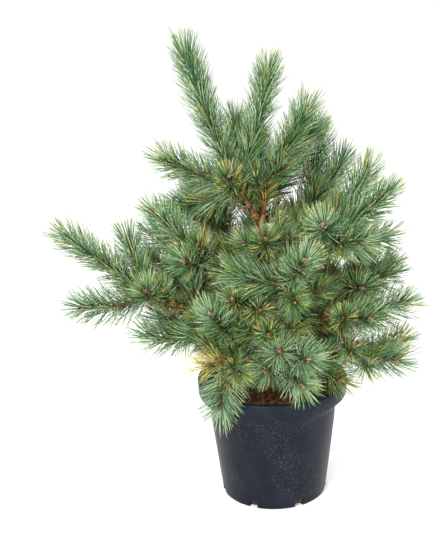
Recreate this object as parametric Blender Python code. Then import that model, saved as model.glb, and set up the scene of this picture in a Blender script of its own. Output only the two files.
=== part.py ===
# Potted aurea Scots pine, a bushy young tree 1.13 m tall in a round nursery pot.
# The origin is the middle of the pot's underside, +Z is up, and the front is towards -Y. Sizes are in metres.
# A bearing is an angle in degrees round the trunk, 0 to the right (+X) and 90 to the back (+Y).
# A rise is an angle in degrees above level.
import math
import random
from collections import namedtuple

import bmesh
import bpy
import numpy as np
from mathutils import Matrix, Vector

# Gap between pieces that touch in the real plant
GAP = 0.0003

# Points of a joined mesh that lie nearer than this are one
SLIVER = 0.00001

# Pot, a turned shell with a deep outer band round its rim
POT_HEIGHT = 0.297
RIM_RADIUS = 0.181
RIM_BAND = 0.039
RIM_ROUND = 0.007
BODY_TOP_RADIUS = 0.158
BASE_RADIUS = 0.127
BASE_ROUND = 0.004
POT_WALL = 0.0032
POT_FLOOR = 0.005
LEDGE_DROP = 0.024
LEDGE_STEP = 0.0022
GROOVE_INNER = 0.060
GROOVE_OUTER = 0.088
GROOVE_DEPTH = 0.0022
POT_STEPS = 36

# Drain notches, cut through the foot of the wall
NOTCH_COUNT = 7
NOTCH_FIRST_BEARING = -114.0
NOTCH_WIDTH = 0.022
NOTCH_HEIGHT = 0.019
NOTCH_DEPTH = 0.016

# Root ball, level round the trunk and falling a little to the wall
SOIL_LEVEL = 0.262
SOIL_FALL = 0.006
SOIL_FLAT = 0.050

# Trunk
TRUNK_BEARING = 180.0
TRUNK_RISE = 87.8
TRUNK_UPRIGHT = 0.012
TRUNK_LENGTH = 0.399
TRUNK_ROOT_RADIUS = 0.0150
TRUNK_TIP_RADIUS = 0.0078
FLARE = 0.0080
FLARE_HEIGHT = 0.030
FLARE_LOBES = 5
TRUNK_SIDES = 15
TRUNK_STEPS = 9

# Boughs
LIMB_SIDES = 7
LIMB_STEPS = 4

# Shoots: a slim core, and sprays of needles that stand out of it
HUB_LENGTH = 0.009
HUB_TAPER = 0.7
STEM_RADIUS = 0.0019
STEM_START = 0.0022
STEM_LENGTH = 0.015
CORE_ROOT_RADIUS = 0.0048
CORE_TIP_RADIUS = 0.0040
CORE_SIDES = 5
SPRAY_PITCH = 0.0225
BUD_LENGTH = 0.011
NEEDLE_LENGTH = 0.064
NEEDLE_SPARE = 0.14
SPREAD_LEVEL = 58.0
SPREAD_UPRIGHT = 42.0
SPREAD_TIP_SHARE = 0.45
NEEDLE_LIFT = 0.16
SPRAY_CLEAR = 0.0020
SPRAY_HALF_WIDTH = 0.0072
LIMB_CLEAR = 0.0035
SHORTEST_SPRAY = 0.3
SHORTENING = (1.0, 0.88, 0.76, 0.64, 0.52, 0.4, SHORTEST_SPRAY)

# carrier, share of the carrier's length, bearing, rise, length, lift (degrees the limb turns up on its way),
# and the radius at its root and at its tip
Limb = namedtuple("Limb", "carrier share bearing rise length lift root tip")
LIMBS = {
    "left_fork": Limb("trunk", 1.00, -169, 60, 0.109, 6, 0.0066, 0.0050),
    "right_fork": Limb("trunk", 0.99, 0, 84, 0.110, 0, 0.0056, 0.0044),
    "upper_right_bough": Limb("trunk", 0.95, 32, 12, 0.115, 16, 0.0042, 0.0034),
    "back_upper_bough": Limb("trunk", 0.90, 92, 40, 0.115, 14, 0.0042, 0.0034),
    "left_upper_bough": Limb("trunk", 0.82, -159, 2, 0.139, 14, 0.0050, 0.0038),
    "front_right_bough": Limb("trunk", 0.78, -35, 28, 0.194, 10, 0.0056, 0.0042),
    "back_left_bough": Limb("trunk", 0.72, 138, 30, 0.150, 14, 0.0048, 0.0036),
    "mid_right_bough": Limb("trunk", 0.63, 2, 0, 0.186, 10, 0.0050, 0.0038),
    "back_right_bough": Limb("trunk", 0.66, 52, 26, 0.165, 12, 0.0048, 0.0036),
    "front_bough": Limb("trunk", 0.55, -70, 31, 0.158, 8, 0.0050, 0.0040),
    "back_bough": Limb("trunk", 0.52, 98, 20, 0.165, 14, 0.0050, 0.0038),
    "left_arm": Limb("trunk", 0.43, -159, 19, 0.298, 10, 0.0074, 0.0050),
    "low_right_bough": Limb("trunk", 0.42, -31, 13, 0.198, 10, 0.0060, 0.0044),
    "outer_right_branch": Limb("low_right_bough", 0.86, -24, -45, 0.108, 30, 0.0036, 0.0032),
    "left_back_bough": Limb("trunk", 0.47, 166, 16, 0.170, 14, 0.0050, 0.0038),
    "left_front_bough": Limb("trunk", 0.36, -136, 10, 0.115, 14, 0.0044, 0.0036),
    "low_back_right_bough": Limb("trunk", 0.33, 38, 14, 0.180, 14, 0.0050, 0.0038),
    "front_low_bough": Limb("trunk", 0.30, -72, 6, 0.062, 10, 0.0040, 0.0034),
    "low_left_bough": Limb("trunk", 0.28, -158, 21, 0.178, 6, 0.0050, 0.0038),
    "low_back_left_bough": Limb("trunk", 0.26, 136, 16, 0.165, 12, 0.0048, 0.0036),
    "low_front_right_bough": Limb("trunk", 0.25, -34, 4, 0.090, 8, 0.0040, 0.0034),
    "low_front_left_bough": Limb("trunk", 0.22, -124, 15, 0.164, -10, 0.0044, 0.0034),
    "low_back_bough": Limb("trunk", 0.19, 84, 18, 0.160, 12, 0.0048, 0.0036),
}

# Small inner branches, each of which is the stem of a mass that stands straight off the trunk
SPRIGS = {
    "inner_upper_front": Limb("trunk", 0.86, -88, 16, 0.060, 10, 0.0032, 0.0027),
    "inner_upper_right": Limb("trunk", 0.81, 14, 14, 0.062, 10, 0.0032, 0.0027),
    "inner_left": Limb("trunk", 0.68, 170, 8, 0.066, 10, 0.0032, 0.0027),
    "inner_front_right": Limb("trunk", 0.60, -46, 6, 0.074, 10, 0.0032, 0.0027),
    "inner_front_left": Limb("trunk", 0.58, -118, 6, 0.066, 10, 0.0032, 0.0027),
    "inner_low_front": Limb("trunk", 0.45, -90, -2, 0.068, 10, 0.0032, 0.0027),
    "inner_low_right": Limb("trunk", 0.34, 2, 8, 0.082, 10, 0.0032, 0.0027),
    "inner_low_left": Limb("trunk", 0.33, 176, 6, 0.076, 10, 0.0032, 0.0027),
    "inner_back": Limb("trunk", 0.40, 108, 14, 0.080, 10, 0.0032, 0.0027),
    "inner_foot_right": Limb("trunk", 0.14, 16, 16, 0.085, 10, 0.0032, 0.0027),
    "inner_foot_left": Limb("trunk", 0.13, 146, 17, 0.085, 10, 0.0032, 0.0027),
}
BRANCHES = {**LIMBS, **SPRIGS}

# Each bough ends in a whorl of shoots: bearing, rise, length to the bud, and lift
Shoot = namedtuple("Shoot", "bearing rise length lift")
WHORLS = {
    "left_fork": (
        Shoot(175, 71, 0.325, 6),
        Shoot(28, 71, 0.268, 12),
        Shoot(-158, 26, 0.182, 10),
        Shoot(156, -22, 0.170, 30),
        Shoot(90, 54, 0.160, 12),
    ),
    "right_fork": (
        Shoot(-19, 60, 0.188, 8),
        Shoot(24, 42, 0.160, 16),
        Shoot(112, 44, 0.120, 16),
    ),
    "upper_right_bough": (
        Shoot(43, 73, 0.184, 8),
        Shoot(18, 52, 0.153, 12),
    ),
    "left_upper_bough": (
        Shoot(-165, 49, 0.170, -10),
        Shoot(158, 22, 0.140, 16),
        Shoot(-128, 16, 0.080, 16),
    ),
    "front_right_bough": (
        Shoot(23, 54, 0.168, 8),
        Shoot(-9, 37, 0.160, 10),
        Shoot(-44, 4, 0.098, 16),
        Shoot(-103, 33, 0.080, 10),
        Shoot(28, -11, 0.155, 24),
    ),
    "mid_right_bough": (
        Shoot(-17, 20, 0.105, 14),
        Shoot(34, 12, 0.130, 14),
        Shoot(-70, 12, 0.085, 14),
    ),
    "front_bough": (
        Shoot(-67, 42, 0.122, 6),
        Shoot(-174, 16, 0.124, 14),
    ),
    "left_arm": (
        Shoot(-173, 41, 0.236, -8),
        Shoot(135, 60, 0.143, 8),
        Shoot(-159, 1, 0.160, 24),
        Shoot(-94, 36, 0.056, 0),
    ),
    "low_right_bough": (
        Shoot(8, 10, 0.146, 12),
        Shoot(-45, 11, 0.082, 12),
    ),
    "outer_right_branch": (
        Shoot(-22, 0, 0.080, 20),
        Shoot(34, 6, 0.115, 16),
    ),
    "left_front_bough": (
        Shoot(-117, 42, 0.130, 6),
        Shoot(-172, 6, 0.095, 16),
    ),
    "front_low_bough": (
        Shoot(-89, 18, 0.115, 6),
        Shoot(-62, 9, 0.140, 6),
        Shoot(-66, -20, 0.132, 12),
        Shoot(-108, -12, 0.095, 16),
    ),
    "low_left_bough": (
        Shoot(-160, 2, 0.130, 52),
        Shoot(164, 12, 0.100, 20),
    ),
    "low_front_right_bough": (
        Shoot(-39, -20, 0.112, 12),
        Shoot(-4, 4, 0.120, 16),
        Shoot(-62, 12, 0.075, 16),
    ),
    "low_front_left_bough": (
        Shoot(-107, -44, 0.118, 8),
        Shoot(-146, 2, 0.066, 10),
    ),
}

# A whorl with no shoots named above has one that carries its bough on and others turned evenly round it
RULE_SHOOTS = 3
RULE_LENGTH = 0.135
SPRIG_SHOOT_LENGTH = 0.098
RULE_SIDE_SHARE = 0.80
RULE_SIDE_ANGLE = 42.0
RULE_LIFT = 14.0
RULE_RISE = 16.0
RULE_LOWEST_RISE = -8.0

COLOURS = {
    "pot_plastic": ((0.030, 0.034, 0.043), 0.42),
    "potting_soil": ((0.060, 0.027, 0.013), 0.95),
    "bark": ((0.230, 0.095, 0.042), 0.85),
    "needles": ((0.090, 0.200, 0.125), 0.55),
}


# Directions and paths
def direction(bearing, rise):
    b, r = math.radians(bearing), math.radians(rise)
    return Vector((math.cos(b) * math.cos(r), math.sin(b) * math.cos(r), math.sin(r)))


def arc(start, bearing, rise, length, lift, steps):
    """Points of a limb whose two ends lie along (bearing, rise) and which turns up by lift on its way."""
    points = [Vector(start)]
    for i in range(steps):
        turn = lift * ((i + 0.5) / steps - 0.5)
        points.append(points[-1] + direction(bearing, rise + turn) * (length / steps))
    return points


def along(points, share):
    """The point at this share of a path's length."""
    spans = [(b - a).length for a, b in zip(points, points[1:])]
    left = max(0.0, min(1.0, share)) * sum(spans)
    for a, b, span in zip(points, points[1:], spans):
        if left <= span:
            return a.lerp(b, left / span)
        left -= span
    return points[-1].copy()


def tangents(points):
    steps = [b - a for a, b in zip(points, points[1:])]
    around = [steps[0]] + [a + b for a, b in zip(steps, steps[1:])] + [steps[-1]]
    return [t.normalized() for t in around]


def rings(points, radii, sides, twist=0.0):
    """Rings of points round a path, whose frame is carried along it without turning."""
    found = []
    ahead = tangents(points)
    side = ahead[0].orthogonal().normalized()
    for i, (point, tangent, radius) in enumerate(zip(points, ahead, radii)):
        side = (side - tangent * side.dot(tangent)).normalized()
        other = tangent.cross(side)
        ring = []
        for k in range(sides):
            angle = math.tau * (k + twist * i) / sides
            reach = radius(angle) if callable(radius) else radius
            ring.append(point + (side * math.cos(angle) + other * math.sin(angle)) * reach)
        found.append(ring)
    return found


# Objects and materials
def clear_scene():
    for old in list(bpy.data.objects):
        bpy.data.objects.remove(old)


def material(name):
    found = bpy.data.materials.get(name)
    if found:
        return found
    (red, green, blue), roughness = COLOURS[name]
    found = bpy.data.materials.new(name)
    found.use_nodes = True
    shader = found.node_tree.nodes["Principled BSDF"]
    shader.inputs["Base Color"].default_value = (red, green, blue, 1.0)
    shader.inputs["Roughness"].default_value = roughness
    shader.inputs["Metallic"].default_value = 0.0
    found.diffuse_color = (red, green, blue, 1.0)
    return found


def add_object(name, bm, surface=None, collection=None):
    bmesh.ops.recalc_face_normals(bm, faces=bm.faces)
    mesh = bpy.data.meshes.new(name)
    bm.to_mesh(mesh)
    bm.free()
    made = bpy.data.objects.new(name, mesh)
    (collection or bpy.context.scene.collection).objects.link(made)
    if surface:
        mesh.materials.append(material(surface))
    return made


def tube(points, radii, sides):
    """A closed tube through rings of these radii, with flat ends."""
    bm = bmesh.new()
    loops = [[bm.verts.new(p) for p in ring] for ring in rings(points, radii, sides)]
    for near, far in zip(loops, loops[1:]):
        for k in range(sides):
            bm.faces.new((near[k], near[(k + 1) % sides], far[(k + 1) % sides], far[k]))
    bm.faces.new(loops[0])
    bm.faces.new(loops[-1])
    return bm


def turned(profile, steps):
    """A closed solid turned about Z from a profile of (radius, height) that starts and ends on the axis."""
    bm = bmesh.new()
    verts = [bm.verts.new((r, 0.0, z)) for r, z in profile]
    edges = [bm.edges.new(pair) for pair in zip(verts, verts[1:])]
    bmesh.ops.spin(
        bm, geom=verts + edges, cent=(0, 0, 0), axis=(0, 0, 1), angle=math.tau, steps=steps, use_duplicate=False
    )
    bmesh.ops.remove_doubles(bm, verts=bm.verts, dist=1e-6)
    return bm


def as_cutter(made):
    made.hide_render = True
    made.display_type = "WIRE"
    return made


def cut(target, cutter):
    modifier = target.modifiers.new("cut_by_" + cutter.name, "BOOLEAN")
    modifier.operation = "DIFFERENCE"
    modifier.solver = "EXACT"
    modifier.object = cutter


def apply_modifiers(made):
    bpy.context.view_layer.update()
    graph = bpy.context.evaluated_depsgraph_get()
    mesh = bpy.data.meshes.new_from_object(made.evaluated_get(graph))
    made.modifiers.clear()
    made.data = mesh


def keep_outer_shell(made):
    """Clears slivers left by a union, drops loose scraps and fills sealed hollows: the largest shell stays."""
    bm = bmesh.new()
    bm.from_mesh(made.data)
    left = set(bm.faces)
    shells = []
    while left:
        shell, front = set(), [left.pop()]
        while front:
            face = front.pop()
            shell.add(face)
            for edge in face.edges:
                for other in edge.link_faces:
                    if other in left:
                        left.remove(other)
                        front.append(other)
        shells.append(shell)
    if len(shells) > 1:
        kept = max(shells, key=shell_volume)
        spare = [face for shell in shells if shell is not kept for face in shell]
        bmesh.ops.delete(bm, geom=spare, context="FACES")
    bmesh.ops.remove_doubles(bm, verts=bm.verts, dist=SLIVER)
    bm.to_mesh(made.data)
    bm.free()


def shell_volume(shell):
    total = 0.0
    for face in shell:
        corners = [v.co for v in face.verts]
        for b, c in zip(corners[1:], corners[2:]):
            total += corners[0].dot(b.cross(c)) / 6.0
    return total


# Pot and root ball
def body_radius(height):
    """Outer radius of the pot's body at a height."""
    share = height / (POT_HEIGHT - RIM_BAND)
    return BASE_RADIUS + (BODY_TOP_RADIUS - BASE_RADIUS) * share


def quarter(centre_r, centre_z, radius, first, last, count=3):
    """Points of a rounded corner in a profile, from one angle in degrees to another."""
    turns = [math.radians(first + (last - first) * i / count) for i in range(count + 1)]
    return [(centre_r + radius * math.cos(a), centre_z + radius * math.sin(a)) for a in turns]


def pot_profile():
    ledge = POT_HEIGHT - RIM_BAND - LEDGE_DROP
    rim_foot = POT_HEIGHT - RIM_BAND
    inner_rim = BODY_TOP_RADIUS + 0.004
    outside = [
        (0.0, 0.0),
        (GROOVE_INNER, 0.0),
        (GROOVE_INNER + GROOVE_DEPTH, GROOVE_DEPTH),
        (GROOVE_OUTER - GROOVE_DEPTH, GROOVE_DEPTH),
        (GROOVE_OUTER, 0.0),
        *quarter(BASE_RADIUS - BASE_ROUND, BASE_ROUND, BASE_ROUND, -90, 0, 2),
        (body_radius(ledge) - LEDGE_STEP, ledge - LEDGE_STEP),
        (body_radius(ledge), ledge),
        (BODY_TOP_RADIUS, rim_foot + 0.004),
        (RIM_RADIUS - 0.004, rim_foot),
        (RIM_RADIUS - 0.001, rim_foot + 0.003),
        *quarter(RIM_RADIUS - RIM_ROUND, POT_HEIGHT - RIM_ROUND, RIM_ROUND, 0, 90),
    ]
    inside = [
        (inner_rim + 0.004, POT_HEIGHT),
        (inner_rim, POT_HEIGHT - 0.004),
        (BODY_TOP_RADIUS - POT_WALL, rim_foot - POT_WALL),
        (BASE_RADIUS - POT_WALL, POT_FLOOR + 0.003),
        (BASE_RADIUS - POT_WALL - 0.003, POT_FLOOR),
        (0.0, POT_FLOOR),
    ]
    return outside + inside


def make_notch_cutters():
    """One wedge-sided block at each drain notch, set across the foot of the wall."""
    collection = bpy.data.collections.new("notch_cutters")
    bpy.context.scene.collection.children.link(collection)
    for i in range(NOTCH_COUNT):
        bearing = math.radians(NOTCH_FIRST_BEARING + 360.0 * i / NOTCH_COUNT)
        bm = bmesh.new()
        bmesh.ops.create_cube(bm, size=1.0)
        below = NOTCH_DEPTH / 2
        scale = Matrix.Diagonal((NOTCH_DEPTH * 2, NOTCH_WIDTH, NOTCH_HEIGHT + below, 1.0))
        lift = Matrix.Translation((BASE_RADIUS, 0.0, (NOTCH_HEIGHT - below) / 2))
        bmesh.ops.transform(bm, matrix=Matrix.Rotation(bearing, 4, "Z") @ lift @ scale, verts=bm.verts)
        as_cutter(add_object(f"notch_cutter_{i}", bm, collection=collection))
    return collection


def make_pot():
    pot = add_object("pot", turned(pot_profile(), POT_STEPS), "pot_plastic")
    notches = pot.modifiers.new("drain_notches", "BOOLEAN")
    notches.operation = "DIFFERENCE"
    notches.solver = "EXACT"
    notches.operand_type = "COLLECTION"
    notches.collection = make_notch_cutters()
    return pot


def make_soil():
    clear = POT_WALL + GAP + 0.0002
    bottom = POT_FLOOR + GAP
    wall_top = POT_HEIGHT - RIM_BAND - POT_WALL
    top = SOIL_LEVEL - SOIL_FALL
    foot = BASE_RADIUS - clear - 0.004
    bm = turned(
        [
            (0.0, bottom),
            (foot, bottom),
            (BASE_RADIUS - clear, bottom + 0.004),
            (body_radius(wall_top) - clear, wall_top),
            (BODY_TOP_RADIUS - clear, top),
            ((BODY_TOP_RADIUS + SOIL_FLAT) / 2, SOIL_LEVEL - SOIL_FALL / 2),
            (SOIL_FLAT, SOIL_LEVEL),
            (0.0, SOIL_LEVEL),
        ],
        POT_STEPS,
    )
    return add_object("root_ball", bm, "potting_soil")


# Trunk and boughs
def trunk_path():
    foot = Vector((0.0, 0.0, SOIL_LEVEL + GAP))
    above = foot + Vector((0.0, 0.0, TRUNK_UPRIGHT))
    return [foot] + arc(above, TRUNK_BEARING, TRUNK_RISE, TRUNK_LENGTH, 0.0, TRUNK_STEPS)


def trunk_radii(points):
    """Taper from root to tip, and lobes of root flare at the foot."""
    found = []
    for i, point in enumerate(points):
        share = i / (len(points) - 1)
        taper = TRUNK_ROOT_RADIUS + (TRUNK_TIP_RADIUS - TRUNK_ROOT_RADIUS) * share
        flare = FLARE * math.exp(-(point.z - SOIL_LEVEL) / FLARE_HEIGHT)
        found.append(lambda a, t=taper, f=flare: t + f * (0.55 + 0.45 * math.cos(FLARE_LOBES * a)))
    return found


def limb_path(name, paths):
    limb = BRANCHES[name]
    start = along(paths[limb.carrier], limb.share)
    return arc(start, limb.bearing, limb.rise, limb.length, limb.lift, LIMB_STEPS)


def limb_radii(limb, steps):
    return [limb.root + (limb.tip - limb.root) * i / steps for i in range(steps + 1)]


def grown(radii, by):
    return [lambda a, r=r: (r(a) if callable(r) else r) + by for r in radii]


def lengthened(points, by):
    """The path with its far end moved on by a small length."""
    return points[:-1] + [points[-1] + (points[-1] - points[-2]).normalized() * by]


def make_limbs(paths):
    """The trunk and the boughs. Each bough grows from inside its carrier and is cut back to the gap.

    Returns the cutter that is the trunk with the gap round it.
    """
    path = paths["trunk"]
    radii = {"trunk": trunk_radii(path)}
    add_object("trunk", tube(path, radii["trunk"], TRUNK_SIDES), "bark")
    sides = {"trunk": TRUNK_SIDES}
    cutters = {}

    def cutter(name):
        if name not in cutters:
            body = tube(lengthened(paths[name], GAP), grown(radii[name], GAP), sides[name])
            cutters[name] = as_cutter(add_object("space_of_" + name, body))
        return cutters[name]

    for name, limb in LIMBS.items():
        radii[name] = limb_radii(limb, LIMB_STEPS)
        sides[name] = LIMB_SIDES
        made = add_object(name, tube(paths[name], radii[name], LIMB_SIDES), "bark")
        cut(made, cutter(limb.carrier))
        if name == "right_fork":
            cut(made, cutter("left_fork"))
    return cutter("trunk")


# Shoots
def rule_whorl(name):
    """Shoots of a bough that has none named: one carries the bough on, and the others stand evenly round it."""
    limb = BRANCHES[name]
    full = SPRIG_SHOOT_LENGTH if name in SPRIGS else RULE_LENGTH
    draw = random.Random(name)
    rise = limb.rise + RULE_RISE
    ahead = direction(limb.bearing, rise)
    across = Vector((0, 0, 1)).cross(ahead).normalized()
    upward = ahead.cross(across)
    shoots = [Shoot(limb.bearing, rise, full, RULE_LIFT)]
    for i in range(1, RULE_SHOOTS):
        turn = math.tau * (i - 0.5) / (RULE_SHOOTS - 1) + draw.uniform(-0.3, 0.3)
        angle = math.radians(RULE_SIDE_ANGLE)
        side = across * math.sin(turn) + upward * math.cos(turn)
        way = ahead * math.cos(angle) + side * math.sin(angle)
        side_rise = max(RULE_LOWEST_RISE, math.degrees(math.asin(way.z)))
        length = full * RULE_SIDE_SHARE * draw.uniform(0.85, 1.15)
        shoots.append(Shoot(math.degrees(math.atan2(way.y, way.x)), side_rise, length, RULE_LIFT))
    return tuple(shoots)


def hub_of(path):
    """The middle of a whorl, just past its bough's tip."""
    ahead = (path[-1] - path[-2]).normalized()
    return path[-1] + ahead * (GAP + HUB_LENGTH / 2)


def shoot_path(hub, shoot):
    """Points along a shoot: where its stem starts, just off the hub's middle, then one between each two sprays."""
    steps = max(2, round((shoot.length - STEM_LENGTH) / SPRAY_PITCH))
    fine = arc(hub, shoot.bearing, shoot.rise, shoot.length, shoot.lift, 24)
    lengths = [STEM_START] + [STEM_LENGTH + (shoot.length - STEM_LENGTH) * i / steps for i in range(steps + 1)]
    return [along(fine, length / shoot.length) for length in lengths]


def whorl(name, path):
    """The shoots of a bough's whorl by name, each with its path and its rise."""
    shoots = WHORLS.get(name) or rule_whorl(name)
    hub = hub_of(path)
    return {f"{name}_shoot_{i}": (shoot_path(hub, shoot), shoot.rise) for i, shoot in enumerate(shoots)}


class Space:
    """Where a shoot's needles may grow: nearer to it than to any other shoot, and clear of limbs, pot and soil."""

    def __init__(self, shoot_paths, limb_paths):
        spans = [
            (shoot, a, b - a)
            for shoot, path in shoot_paths.items()
            for a, b in zip(path, path[1:])
        ]
        owners = [shoot for shoot, start, span in spans]
        self.starts = np.array([start for shoot, start, span in spans])
        self.spans = np.array([span for shoot, start, span in spans])
        self.owned = {shoot: np.array([owner == shoot for owner in owners]) for shoot in shoot_paths}
        limbs = [
            (a, b, r)
            for name, path in limb_paths.items()
            for a, b, r in zip(path, path[1:], [limb_reach(name)] * (len(path) - 1))
        ]
        self.limb_starts = np.array([a for a, b, r in limbs])
        self.limb_spans = np.array([b - a for a, b, r in limbs])
        self.limb_reach = np.array([r for a, b, r in limbs])

    @staticmethod
    def distances(points, starts, spans):
        offset = points[:, None, :] - starts[None]
        length = np.maximum((spans * spans).sum(1), 1e-12)
        share = np.clip((offset * spans[None]).sum(2) / length[None], 0.0, 1.0)
        return np.linalg.norm(offset - share[..., None] * spans[None], axis=2)

    def holds(self, shoot, root, tip):
        """True if a spray from root to tip stays in its shoot's own space."""
        shares = np.array([0.15, 0.4, 0.7, 1.0])
        points = np.array(root) + shares[:, None] * (np.array(tip) - np.array(root))
        width = SPRAY_HALF_WIDTH * (1.0 - shares)
        to_shoots = self.distances(points, self.starts, self.spans)
        own = to_shoots[:, self.owned[shoot]].min(1)
        other = to_shoots[:, ~self.owned[shoot]].min(1)
        if (own + 2 * (SPRAY_CLEAR + width) > other).any():
            return False
        to_limbs = self.distances(points, self.limb_starts, self.limb_spans) - self.limb_reach[None]
        if (to_limbs.min(1) < LIMB_CLEAR + width).any():
            return False
        return all(clear_of_pot(p, SPRAY_CLEAR + w) for p, w in zip(points, width))


def limb_reach(name):
    return TRUNK_ROOT_RADIUS if name == "trunk" else BRANCHES[name].root


def clear_of_pot(point, margin):
    """True if a point is outside the pot and above the soil by the margin."""
    x, y, z = point
    radius = math.hypot(x, y)
    if z > POT_HEIGHT + margin:
        return True
    if radius < BODY_TOP_RADIUS - margin:
        return z > SOIL_LEVEL + margin
    outer = RIM_RADIUS if z > POT_HEIGHT - RIM_BAND - margin else body_radius(max(z, 0.0))
    return radius > outer + margin


def spray_direction(tangent, radial, rise, share):
    """The way a spray of needles points: out and forward, closer to the stem near the bud, and lifted to the light."""
    upright = max(0.0, min(1.0, rise / 75.0))
    spread = SPREAD_LEVEL + (SPREAD_UPRIGHT - SPREAD_LEVEL) * upright
    spread *= 1.0 - (1.0 - SPREAD_TIP_SHARE) * max(0.0, (share - 0.55) / 0.45)
    angle = math.radians(spread)
    way = tangent * math.cos(angle) + radial * math.sin(angle)
    return (way + Vector((0, 0, NEEDLE_LIFT))).normalized()


def make_shoot(name, path, rise, space, collection):
    """One shoot: a thin stem, a core whose every face is drawn out into a spray of needles, and a bud."""
    draw = random.Random(name)
    count = len(path) - 1
    radii = [STEM_RADIUS] + [
        CORE_ROOT_RADIUS + (CORE_TIP_RADIUS - CORE_ROOT_RADIUS) * i / (count - 1) for i in range(count)
    ]
    loops = rings(path, radii, CORE_SIDES, twist=0.5)
    ahead = tangents(path)
    bm = bmesh.new()
    verts = [[bm.verts.new(p) for p in ring] for ring in loops]
    for i in range(count):
        near, far = verts[i], verts[i + 1]
        middle = (path[i] + path[i + 1]) / 2
        tangent = (ahead[i] + ahead[i + 1]).normalized()
        for k in range(CORE_SIDES):
            corners = [near[k], near[(k + 1) % CORE_SIDES], far[(k + 1) % CORE_SIDES], far[k]]
            root = sum((v.co for v in corners), Vector()) / 4
            tip = None
            if i > 0:
                radial = root - middle
                radial = (radial - tangent * radial.dot(tangent)).normalized()
                way = spray_direction(tangent, radial, rise, i / count)
                reach = NEEDLE_LENGTH * draw.uniform(1 - NEEDLE_SPARE, 1 + NEEDLE_SPARE)
                tip = spray_tip(name, root, way * reach, space)
            if tip is None:
                bm.faces.new(corners)
                continue
            apex = bm.verts.new(tip)
            for a, b in zip(corners, corners[1:] + corners[:1]):
                bm.faces.new((a, b, apex))
    bm.faces.new(verts[0])
    bud = bm.verts.new(path[-1] + ahead[-1] * BUD_LENGTH)
    for k in range(CORE_SIDES):
        bm.faces.new((verts[-1][k], verts[-1][(k + 1) % CORE_SIDES], bud))
    return add_object(name, bm, collection=collection)


def spray_tip(shoot, root, reach, space):
    """The furthest tip on the way out that keeps to the shoot's space, or None where the spray is skipped."""
    for share in SHORTENING:
        if space.holds(shoot, root, root + reach * share):
            return root + reach * share
    return None


def make_stem(name, path):
    """The stem of a mass: a short hub off its bough's tip, or a whole sprig from inside the trunk."""
    limb = BRANCHES[name]
    ahead = (path[-1] - path[-2]).normalized()
    end = path[-1] + ahead * (GAP + HUB_LENGTH)
    if name in SPRIGS:
        points, radii = list(path) + [end], limb_radii(limb, LIMB_STEPS)
    else:
        points, radii = [path[-1] + ahead * GAP, end], [limb.tip]
    return tube(points, radii + [limb.tip * HUB_TAPER], CORE_SIDES + 1)


def make_whorl(name, path, shoot_paths, space, trunk_space):
    """One mass of foliage: its stem and its shoots, joined into one solid and kept clear of the trunk."""
    mass = add_object(name.replace("_bough", "").replace("_branch", "") + "_foliage", make_stem(name, path), "needles")
    pieces = bpy.data.collections.new(name + "_shoots")
    bpy.context.scene.collection.children.link(pieces)
    for shoot, (shoot_path, rise) in shoot_paths.items():
        make_shoot(shoot, shoot_path, rise, space, pieces)
    union = mass.modifiers.new("join_shoots", "BOOLEAN")
    union.operation = "UNION"
    union.solver = "EXACT"
    union.operand_type = "COLLECTION"
    union.collection = pieces
    if name in SPRIGS:
        cut(mass, trunk_space)
    apply_modifiers(mass)
    keep_outer_shell(mass)
    for piece in list(pieces.objects):
        bpy.data.objects.remove(piece)
    bpy.data.collections.remove(pieces)


def main():
    clear_scene()
    make_pot()
    make_soil()
    limb_paths = {"trunk": trunk_path()}
    for name in BRANCHES:
        limb_paths[name] = limb_path(name, limb_paths)
    trunk_space = make_limbs(limb_paths)
    whorls = {name: whorl(name, limb_paths[name]) for name in BRANCHES}
    every_shoot = {shoot: path for group in whorls.values() for shoot, (path, rise) in group.items()}
    space = Space(every_shoot, limb_paths)
    for name, group in whorls.items():
        make_whorl(name, limb_paths[name], group, space, trunk_space)


main()
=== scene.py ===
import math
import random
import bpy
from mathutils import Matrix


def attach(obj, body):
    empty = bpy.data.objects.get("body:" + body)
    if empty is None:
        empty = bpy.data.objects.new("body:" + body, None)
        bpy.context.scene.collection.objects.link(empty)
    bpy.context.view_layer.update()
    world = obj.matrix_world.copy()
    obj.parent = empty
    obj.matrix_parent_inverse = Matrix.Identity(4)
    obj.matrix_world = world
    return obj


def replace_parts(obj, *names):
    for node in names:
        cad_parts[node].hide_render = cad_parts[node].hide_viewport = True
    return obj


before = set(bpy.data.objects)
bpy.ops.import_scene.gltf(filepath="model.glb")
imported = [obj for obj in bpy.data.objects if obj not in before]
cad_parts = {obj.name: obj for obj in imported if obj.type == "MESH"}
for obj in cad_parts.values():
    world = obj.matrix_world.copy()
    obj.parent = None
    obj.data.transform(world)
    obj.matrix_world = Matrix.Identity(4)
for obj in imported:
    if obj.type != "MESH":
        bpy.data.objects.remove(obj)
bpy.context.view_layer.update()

# The looks of a potted aurea Scots pine: barked limbs, twigs, buds and needles in place of the plain masses.
# Metres, +Z up, front towards -Y. A bearing is an angle round the trunk in degrees, 0 to the right (+X) and
# 90 to the back (+Y), and a rise is an angle above level.
import zlib
from collections import namedtuple

import bmesh
import bpy
import numpy as np
from mathutils import Matrix

# Camera, at the photograph's viewing angle
IMAGE_HEIGHT = 533
FOCAL_PIXELS = 1184.4
SENSOR = 36.0
CAMERA_PLACE = (0.0, -2.644, 1.451)
CAMERA_YAW = 2.526
CAMERA_PITCH = 18.294
CAMERA_ROLL = -2.052

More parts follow.
